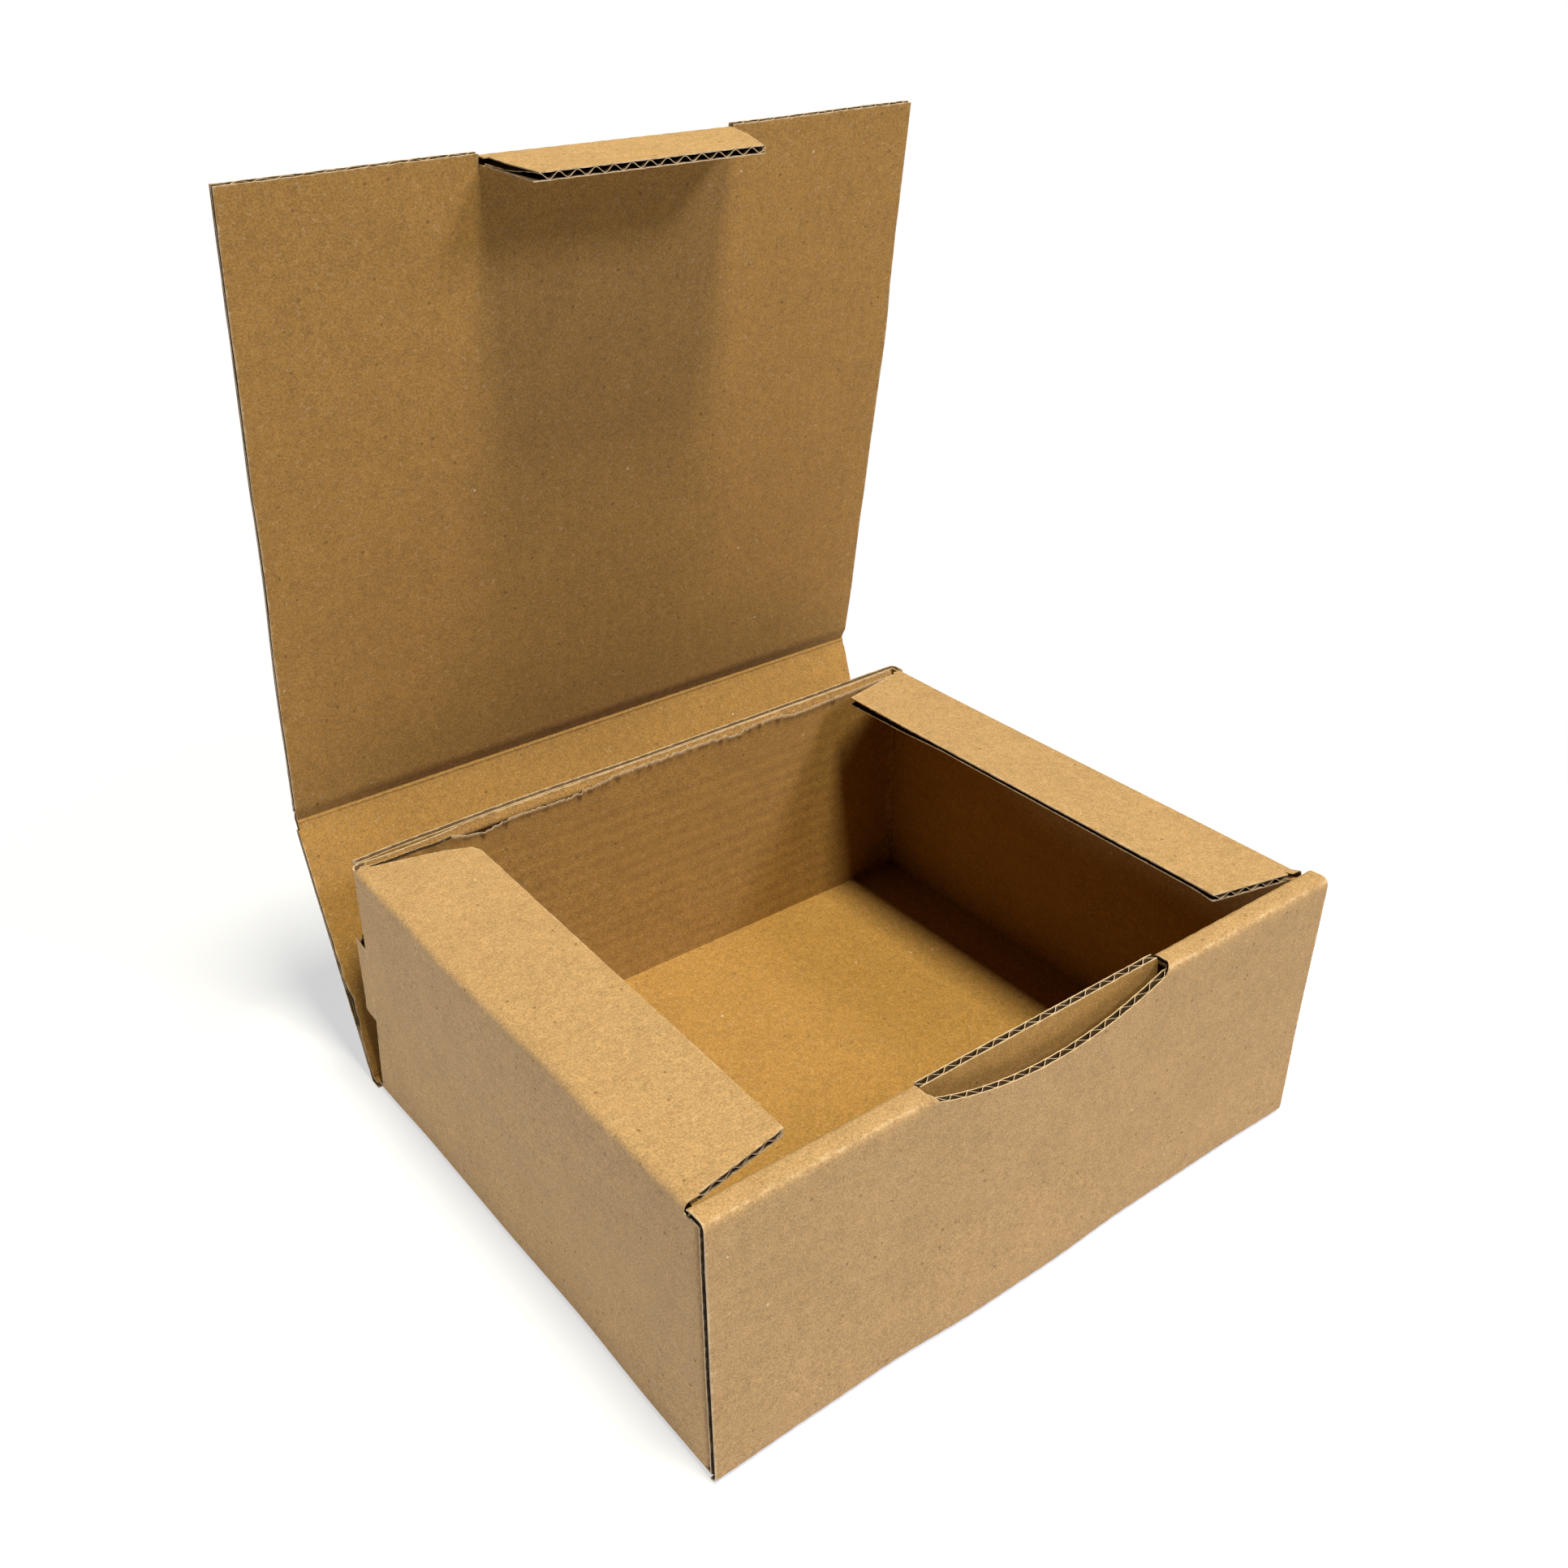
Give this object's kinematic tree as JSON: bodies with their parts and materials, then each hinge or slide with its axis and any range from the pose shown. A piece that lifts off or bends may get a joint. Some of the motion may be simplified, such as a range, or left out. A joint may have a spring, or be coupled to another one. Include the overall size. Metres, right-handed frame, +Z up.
{
  "type": "open cardboard box",
  "caption": "Open corrugated mailing box with a hinged lid side, a tuck flap, two dust flaps and a rolled front with a finger notch.",
  "frame": {"origin": "middle of the tray's underside", "axes": "+X along the front to the right, +Y from the front to the back, +Z up"},
  "size_m": [0.252, 0.2531, 0.3198],
  "materials": {
    "kraft_board": "uncoated brown kraft paper"
  },
  "bodies": {
    "tray": {"tray": "kraft_board"},
    "back": {"back_panel": "kraft_board"},
    "lid": {"lid_panel": "kraft_board"},
    "tuck": {"tuck_flap": "kraft_board"},
    "left_flap": {"left_dust_flap": "kraft_board"},
    "right_flap": {"right_dust_flap": "kraft_board"}
  },
  "joints": [
    {"name": "back_crease", "type": "hinge", "parent": "tray", "child": "back", "pos_m": [0, 0.10995, 0.0014], "axis": [-1, 0, 0], "range_deg": [-14.4, 71.1]},
    {"name": "lid_crease", "type": "hinge", "parent": "back", "child": "lid", "pos_m": [0, 0.14347, 0.09932], "axis": [-1, 0, 0], "range_deg": [-67.47, 27.9]},
    {"name": "tuck_crease", "type": "hinge", "parent": "lid", "child": "tuck", "pos_m": [0, 0.10878, 0.31839], "axis": [-1, 0, 0], "range_deg": [-4.83, 84.3]},
    {"name": "left_flap_crease", "type": "hinge", "parent": "tray", "child": "left_flap", "pos_m": [-0.1236, 0, 0.0976], "axis": [0, -1, 0], "range_deg": [-2.7, 172.3]},
    {"name": "right_flap_crease", "type": "hinge", "parent": "tray", "child": "right_flap", "pos_m": [0.1236, 0, 0.0976], "axis": [0, 1, 0], "range_deg": [-3.7, 171.3]}
  ]
}
